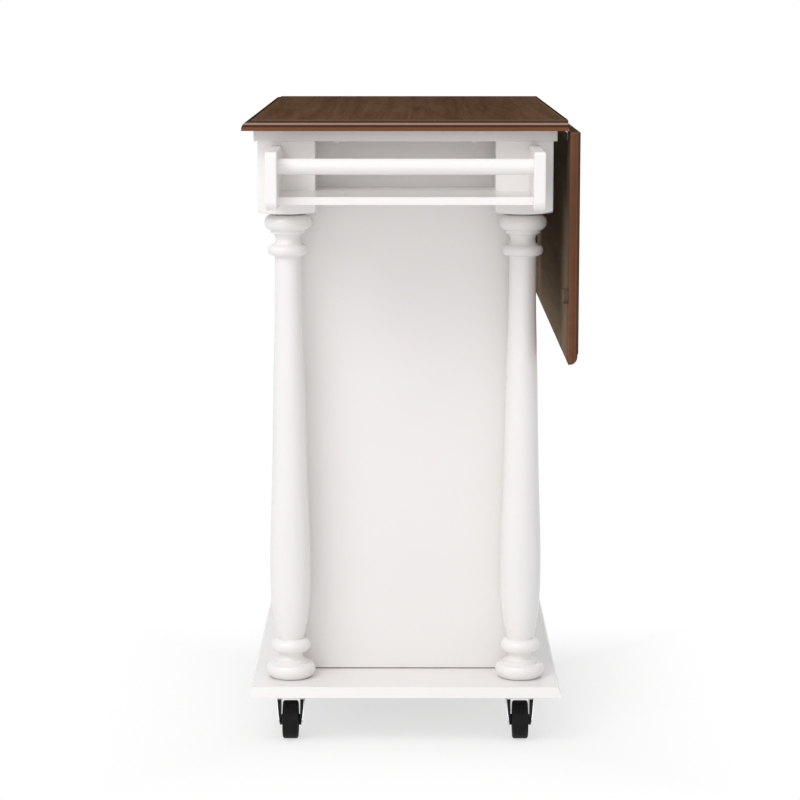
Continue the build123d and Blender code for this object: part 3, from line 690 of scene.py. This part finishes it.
def screw_head(radius, rise):
    """Mesh of a domed screw head that faces +Z, with a cross recess."""
    bm = bmesh.new()
    bmesh.ops.create_circle(bm, segments=HEAD_SIDES, radius=radius)
    ring = bm.edges[:]
    bmesh.ops.edgeloop_fill(bm, edges=ring)
    for narrowing, share in HEAD_RINGS:
        ring = grow(bm, ring, narrowing, rise * share)
    arm, slot = radius * CROSS_ARM, radius * CROSS_SLOT
    cross = [(slot, arm), (slot, slot), (arm, slot)]
    quarter = [bm.verts.new((x, y, rise)) for x, y in cross]
    spun = [quarter]
    for turn in (1, 2, 3):
        spin = Matrix.Rotation(-turn * math.pi / 2, 3, "Z")
        spun.append([bm.verts.new(spin @ point.co) for point in quarter])
    points = [point for quarter in spun for point in quarter]
    recess = [bm.edges.new(pair) for pair in zip(points, points[1:] + points[:1])]
    bmesh.ops.triangle_fill(bm, edges=ring + recess, use_beauty=True, normal=(0.0, 0.0, 1.0))
    depth = max(rise * CROSS_DEPTHS[0], radius * CROSS_DEPTHS[1])
    floor = grow(bm, recess, CROSS_TAPER, -depth)
    bmesh.ops.edgeloop_fill(bm, edges=floor)
    bmesh.ops.recalc_face_normals(bm, faces=bm.faces)
    head = bpy.data.meshes.new("screw_head")
    bm.to_mesh(head)
    bm.free()
    return head


def turned(outline, radius, rise):
    """Mesh of a turned form about +Z, from an outline in shares of its radius and rise."""
    bm = bmesh.new()
    points = [bm.verts.new((radius * across, 0.0, rise * up)) for across, up in outline]
    edges = [bm.edges.new(pair) for pair in zip(points, points[1:])]
    bmesh.ops.spin(
        bm,
        geom=points + edges,
        cent=(0.0, 0.0, 0.0),
        axis=(0.0, 0.0, 1.0),
        angle=2.0 * math.pi,
        steps=TURNED_STEPS,
        use_merge=True,
    )
    bmesh.ops.remove_doubles(bm, verts=bm.verts, dist=SAME_POINT)
    bmesh.ops.recalc_face_normals(bm, faces=bm.faces)
    form = bpy.data.meshes.new("turned")
    bm.to_mesh(form)
    bm.free()
    return form


def stamp(bm, mesh, place, facing, turn):
    """Adds a copy of a mesh, its Z axis along a direction, turned about that."""
    count = len(bm.verts)
    bm.from_mesh(mesh)
    aim = Vector(facing).to_track_quat("Z", "Y").to_matrix().to_4x4()
    matrix = Matrix.Translation(place) @ aim @ Matrix.Rotation(turn, 4, "Z")
    bmesh.ops.transform(bm, matrix=matrix, verts=bm.verts[count:])


def finished(bm, name, body, material):
    """Makes a piece of a bmesh, riding on a body, with its finish."""
    mesh = bpy.data.meshes.new(name)
    bm.to_mesh(mesh)
    bm.free()
    mesh.shade_smooth()
    mesh.set_sharp_from_angle(angle=SHARP_EDGE)
    mesh.materials.append(material)
    piece = bpy.data.objects.new(name, mesh)
    bpy.context.scene.collection.objects.link(piece)
    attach(piece, body)


def studs(name, body, material, form, places):
    """A set of copies of a form at places, each with the direction that it faces."""
    bm = bmesh.new()
    for number, (place, facing) in enumerate(places):
        stamp(bm, form, place, facing, FIRST_TURN + number * NEXT_TURN)
    finished(bm, name, body, material)
    bpy.data.meshes.remove(form)


def screws(name, body, material, slot, radius, rise, places):
    """A set of like screws at places, each with the direction that its head faces."""
    studs(name, body, material, screw_head(radius, rise), places)


class CART_OT_tops(bpy.types.Operator):
    """Stains the worktop and the drop leaf"""

    bl_idname = "cart.tops"
    bl_label = "Tops"

    def execute(self, context):
        look = context.scene.cart_finish
        low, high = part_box("worktop")
        edges = ((ACROSS, low.x, 1.0), (ALONG, low.y, 1.0), (ALONG, high.y, -1.0))
        joint, underside = (ACROSS, high.x), (UP, low.z)
        # The worktop's moulding takes the full painted highlight on its crown, and the leaf's below
        # takes a tenth of it.
        top = stained_wood("brown_wood", look, edges, joint, underside, glint=1.0)
        dress(["worktop"], top)
        low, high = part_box("drop_leaf")
        edges = ((UP, low.z, 1.0), (ALONG, low.y, 1.0), (ALONG, high.y, -1.0))
        joint, underside = (UP, high.z), (ACROSS, low.x)
        leaf = stained_wood("brown_wood_leaf", look, edges, joint, underside, glint=0.1)
        dress(["drop_leaf"], leaf)
        return {"FINISHED"}


class CART_OT_cabinet(bpy.types.Operator):
    """Paints the cabinet, legs, rack and fronts, and adds the back's screws and the rack's caps"""

    bl_idname = "cart.cabinet"
    bl_label = "Cabinet"

    def execute(self, context):
        look = context.scene.cart_finish
        sizes = context.scene.cart_fittings
        paint, cap = white_paint(look), moulded_cap(look)
        dress(PAINTED, paint)
        dress(BARE_WOOD, lacquered_birch(look))
        dress(WHITE_CAPS, cap)
        self.screw_back(sizes, paint)
        self.cap_rack(sizes, cap)
        return {"FINISHED"}

    def screw_back(self, sizes, paint):
        """Painted screws through the back, into the partition and the drawers' decks."""
        low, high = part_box("back_panel")
        partition, decks = middle_of("centre_partition").y, middle_of("drawer_decks").z
        step = (decks - low.z) / PARTITION_SCREWS
        spots = [(partition, low.z + step * (row + 0.5)) for row in range(PARTITION_SCREWS)]
        for way, edge in ((1.0, low.y), (-1.0, high.y)):
            outer, inner = edge + way * DECK_SCREW_INSET, partition - way * DECK_SCREW_REACH
            spots += [(outer, decks), (inner, decks)]
        places = [((high.x, y, z), (1.0, 0.0, 0.0)) for y, z in spots]
        size = (sizes.back_screw, sizes.back_screw_rise)
        screws("back_panel_screws", "cart", paint, "white_paint", *size, places)

    def cap_rack(self, sizes, cap):
        """Round caps on the rack's cheeks, over the screws of its rail and shelf."""
        rail, shelf = middle_of("rack_rail"), middle_of("rack_shelf")
        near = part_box("rack_shelf")[0].y
        spots = [(rail.y, rail.z), *((near + reach, shelf.z) for reach in SHELF_SCREWS)]
        left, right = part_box("rack_cheek_left")[0].x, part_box("rack_cheek_right")[1].x
        faces = ((left, -1.0), (right, 1.0))
        places = [((x, y, z), (way, 0.0, 0.0)) for x, way in faces for y, z in spots]
        form = turned(CAP_OUTLINE, sizes.rack_cap, sizes.rack_cap_rise)
        studs("rack_caps", "cart", cap, form, places)


class CART_OT_fittings(bpy.types.Operator):
    """Plates the knobs, hinges, runners and props, puts in their screws and pads the leaf"""

    bl_idname = "cart.fittings"
    bl_label = "Fittings"

    def execute(self, context):
        look = context.scene.cart_finish
        sizes = context.scene.cart_fittings
        nickel = plated_metal("satin_nickel", look.nickel, roughness=0.24, grain_scale=900.0)
        dress(NICKEL, nickel)
        dress(LEAF_PLATES, shade_darkened_hinge(look, middle_of("leaf_hinge_pins")))
        dress(ZINC, plated_metal("zinc_steel", look.zinc, roughness=0.3, grain_scale=700.0))
        black = black_paint(look)
        dress(BLACK_STEEL, black)

        self.screw_leaf_hinges(sizes, nickel)
        self.screw_doors(sizes, nickel)
        self.screw_knobs(sizes, nickel)
        self.screw_brackets(sizes, black)
        self.pad_leaf(sizes, brown_felt(look))
        return {"FINISHED"}

    def screw_brackets(self, sizes, black):
        """Two screws in the plate of each prop's bracket."""
        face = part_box("prop_brackets")[0].x + BRACKET_PLATE
        level = middle_of("prop_brackets").z
        heights = (level - BRACKET_SCREW_STEP, level + BRACKET_SCREW_STEP)
        ys = [middle_of(f"leaf_prop_{end}").y for end in ENDS]
        places = [((face, y, z), (1.0, 0.0, 0.0)) for y in ys for z in heights]
        size = (sizes.bracket_screw, sizes.bracket_screw_rise)
        screws("prop_bracket_screws", "cart", black, "dark_steel", *size, places)

    def pad_leaf(self, sizes, felt):
        """Two round felt pads on the back of the leaf, which keep it off the legs."""
        low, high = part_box("drop_leaf")
        inset = PAD_INSET * sizes.pad_radius
        level = high.z - sizes.pad_drop
        places = [((low.x, y, level), (-1.0, 0.0, 0.0)) for y in (low.y + inset, high.y - inset)]
        form = turned(PAD_OUTLINE, sizes.pad_radius, sizes.pad_rise)
        studs("leaf_pads", "leaf", felt, form, places)

    def screw_leaf_hinges(self, sizes, nickel):
        """Three screws in each plate of the leaf's three hinges."""
        low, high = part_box("leaf_hinge_top_plates")
        pin = Vector((high.x - KNUCKLE, 0.0, low.z + KNUCKLE))
        reach = (high.y - low.y) / 2 - LEAF_HINGE / 2
        middle = (low.y + high.y) / 2
        hinges, steps = (-reach, 0.0, reach), (-LEAF_SCREW_STEP, 0.0, LEAF_SCREW_STEP)
        rows = [middle + hinge + step for hinge in hinges for step in steps]
        size = (sizes.plate_screw, sizes.plate_screw_rise)
        x, z = pin.x - LEAF_SCREW_LINE, pin.z + HINGE_PLAY
        under = [((x, y, z), (0.0, 0.0, -1.0)) for y in rows]
        screws("leaf_hinge_top_screws", "cart", nickel, "satin_nickel", *size, under)
        x, z = pin.x + HINGE_PLAY, pin.z - LEAF_SCREW_LINE
        behind = [((x, y, z), (-1.0, 0.0, 0.0)) for y in rows]
        screws("leaf_hinge_leaf_screws", "leaf", nickel, "satin_nickel", *size, behind)

    def screw_doors(self, sizes, nickel):
        """Two flush screws in each plate of the doors' hinges."""
        size = (sizes.door_screw, sizes.door_screw_rise)
        jamb = []
        for end in ENDS:
            low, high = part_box(f"door_{end}_hinge_plates")
            outward = -1.0 if end == "near" else 1.0
            pin_y = (low.y + high.y) / 2
            play = outward * HINGE_PLAY
            x = low.x + KNUCKLE + DOOR_SCREW_LINE
            levels = [low.z + DOOR_HINGE / 2, high.z - DOOR_HINGE / 2]
            steps = (-DOOR_SCREW_STEP, DOOR_SCREW_STEP)
            heights = [level + step for level in levels for step in steps]
            jamb += [((x, pin_y + play, z), (0.0, -outward, 0.0)) for z in heights]
            door = [((x, pin_y - play, z), (0.0, outward, 0.0)) for z in heights]
            screws(f"door_{end}_hinge_screws", f"door_{end}", nickel, "satin_nickel", *size, door)
        screws("door_hinge_jamb_screws", "cart", nickel, "satin_nickel", *size, jamb)

    def screw_knobs(self, sizes, nickel):
        """One screw behind each knob, on the inside of its front."""
        size = (sizes.knob_screw, sizes.knob_screw_rise)
        for front, board in (("door", "frame"), ("drawer", "front")):
            for end in ENDS:
                knob = middle_of(f"{front}_{end}_knob")
                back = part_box(f"{front}_{end}_{board}")[1].x
                place = [((back, knob.y, knob.z), (1.0, 0.0, 0.0))]
                body = f"{front}_{end}"
                screws(f"{body}_knob_screw", body, nickel, "satin_nickel", *size, place)


class CART_OT_casters(bpy.types.Operator):
    """Plates the caster forks, blackens the wheels, and adds hub ribs and screws"""

    bl_idname = "cart.casters"
    bl_label = "Casters"

    def execute(self, context):
        look = context.scene.cart_finish
        sizes = context.scene.cart_fittings
        middle = middle_of("base_board")
        spread = abs(middle_of("leg_near_left").x - middle.x)
        dress(FORKS, fork_plate(look, middle, spread))
        chrome = plated_metal("chrome", look.chrome, roughness=0.1, grain_scale=300.0)
        dress(["caster_plates"], chrome)
        rubber = tyre_rubber(look)
        dress(TYRES, rubber)

        low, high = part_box("caster_plates")
        under = high.z - CASTER_PLATE
        reach = middle_of("leg_near_left").x - low.x - CASTER_SCREW_INSET
        steps = [(x, y) for x in (-reach, reach) for y in (-reach, reach)]
        places = []
        for corner in CORNERS:
            leg = middle_of(f"leg_{corner}")
            places += [((leg.x + x, leg.y + y, under), (0.0, 0.0, -1.0)) for x, y in steps]
            self.add_ribs(corner, sizes, rubber)
        size = (sizes.caster_screw, sizes.caster_screw_rise)
        screws("caster_plate_screws", "cart", chrome, "chrome", *size, places)
        return {"FINISHED"}

    def add_ribs(self, corner, sizes, rubber):
        """Ribs on both faces of a wheel's hub, between its boss and its rim."""
        wheel = Matrix.Translation(middle_of(f"caster_{corner}_wheel"))
        size = Matrix.Diagonal((sizes.rib_height, sizes.rib_width, HUB_RIM - HUB_BOSS, 1.0))
        out, up = HUB_FACE + sizes.rib_height / 2, (HUB_BOSS + HUB_RIM) / 2
        bm = bmesh.new()
        for side in (-1, 1):
            shift = Matrix.Translation((side * out, 0.0, up))
            for number in range(HUB_RIBS):
                turn = Matrix.Rotation(number * 2.0 * math.pi / HUB_RIBS, 4, "X")
                bmesh.ops.create_cube(bm, matrix=wheel @ turn @ shift @ size)
        bmesh.ops.bevel(
            bm,
            geom=bm.edges[:],
            offset=RIB_BEVEL,
            affect="EDGES",
            segments=2,
            profile=0.5,
            material=-1,
        )
        finished(bm, f"caster_{corner}_hub_ribs", f"caster_wheel_{corner}", rubber)


def add_lamp(name, place, aim, size, power):
    """A square soft lamp."""
    lamp = bpy.data.lights.new(name, "AREA")
    lamp.shape = "SQUARE"
    lamp.size = size
    lamp.energy = power
    holder = bpy.data.objects.new(name, lamp)
    bpy.context.scene.collection.objects.link(holder)
    holder.location = place
    holder.rotation_euler = (Vector(aim) - Vector(place)).to_track_quat("-Z", "Y").to_euler()


class CART_OT_stage(bpy.types.Operator):
    """Sets up the floor, the lamps, the room's light and the camera"""

    bl_idname = "cart.stage"
    bl_label = "Stage"

    def execute(self, context):
        scene = context.scene
        studio = scene.cart_studio
        self.lay_floor(scene, studio)
        self.light_room(scene, studio)
        for name, (place, aim, size) in LAMPS.items():
            add_lamp(name, place, aim, size, getattr(studio, f"{name}_power"))
        self.set_camera(scene, studio)
        scene.view_settings.view_transform = "Standard"
        return {"FINISHED"}

    def lay_floor(self, scene, studio):
        """A pale floor that keeps the cart's shadow and fades to white past it."""
        mesh = bpy.data.meshes.new("floor")
        bm = bmesh.new()
        bmesh.ops.create_circle(bm, cap_ends=True, segments=FLOOR_SIDES, radius=FLOOR_RADIUS)
        bm.to_mesh(mesh)
        bm.free()
        floor = bpy.data.objects.new("floor", mesh)
        scene.collection.objects.link(floor)

        low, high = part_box("base_board")
        half, centre = (high - low) / 2, (high + low) / 2
        pale = Finish("floor")
        x, y, _ = pale.axes()
        past = (abs(x - centre.x) - half.x).most(low.y - y).most(y - centre.y)
        settings = {"interpolation_type": "SMOOTHSTEP"}
        fade = (FLOOR_FADE, studio.floor_reach, FLOOR_SHOWN, 0.0)
        shown = pale.node("ShaderNodeMapRange", settings, past, *fade)
        white = self.looked_at(pale) * (1.0 - shown)
        speckle = pale.noise(pale.place(), scale=300.0)
        mesh.materials.append(
            pale.end(
                Base_Color=pale.blend(white, tuple(studio.floor_colour), BLACK),
                Roughness=0.7 + speckle * 0.1,
                Specular_IOR_Level=0.0,
                Emission_Color=pale.blend(white, BLACK, WHITE),
                Emission_Strength=1.0,
            )
        )

    def light_room(self, scene, studio):
        """An even light all round, which the camera sees as white."""
        room = bpy.data.worlds.new("room")
        room.use_nodes = True
        scene.world = room
        air = Maker(room.node_tree)
        strength = studio.ambient + self.looked_at(air) * (1.0 - studio.ambient)
        glow = air.node("ShaderNodeBackground", None, Color=(*WHITE, 1.0), Strength=strength)
        air.node("ShaderNodeOutputWorld", None, glow)

    def set_camera(self, scene, studio):
        """A camera before the near end, which looks along the cart."""
        lens = bpy.data.cameras.new("camera")
        lens.lens = studio.lens
        lens.sensor_width = SENSOR_WIDTH
        eye = bpy.data.objects.new("camera", lens)
        scene.collection.objects.link(eye)
        near_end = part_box("worktop")[0].y
        across = middle_of("base_board").x
        eye.location = (across, near_end - studio.camera_distance, studio.camera_height)
        eye.rotation_euler = (math.pi / 2 - studio.camera_tilt, 0.0, studio.camera_turn)
        scene.camera = eye

    def looked_at(self, maker):
        """1 for what the camera sees, straight, in a mirror or through glass, and 0 elsewhere."""
        path = maker.node("ShaderNodeLightPath", output="Is Camera Ray")
        return path.most(path.beside("Is Glossy Ray")).most(path.beside("Is Transmission Ray"))


class CART_PT_sidebar(bpy.types.Panel):
    """Lists the cart's pieces and finishes"""

    bl_label = "Island cart"
    bl_idname = "CART_PT_sidebar"
    bl_space_type = "VIEW_3D"
    bl_region_type = "UI"
    bl_category = "Cart"

    def draw(self, context):
        for operator in OPERATORS:
            self.layout.operator(operator.bl_idname)
        for group in (getattr(context.scene, name) for name in GROUPS):
            for name in group.__annotations__:
                self.layout.prop(group, name)


OPERATORS = (CART_OT_tops, CART_OT_cabinet, CART_OT_fittings, CART_OT_casters, CART_OT_stage)
GROUPS = {"cart_finish": CartFinish, "cart_fittings": CartFittings, "cart_studio": CartStudio}


def register():
    for cls in (*GROUPS.values(), *OPERATORS, CART_PT_sidebar):
        bpy.utils.register_class(cls)
    for name, group in GROUPS.items():
        setattr(bpy.types.Scene, name, PointerProperty(type=group))


def unregister():
    for name in GROUPS:
        delattr(bpy.types.Scene, name)
    for cls in (CART_PT_sidebar, *reversed(OPERATORS), *GROUPS.values()):
        bpy.utils.unregister_class(cls)


def main():
    register()
    bpy.ops.cart.tops()
    bpy.ops.cart.cabinet()
    bpy.ops.cart.fittings()
    bpy.ops.cart.casters()
    bpy.ops.cart.stage()


if __name__ == "__main__":
    main()
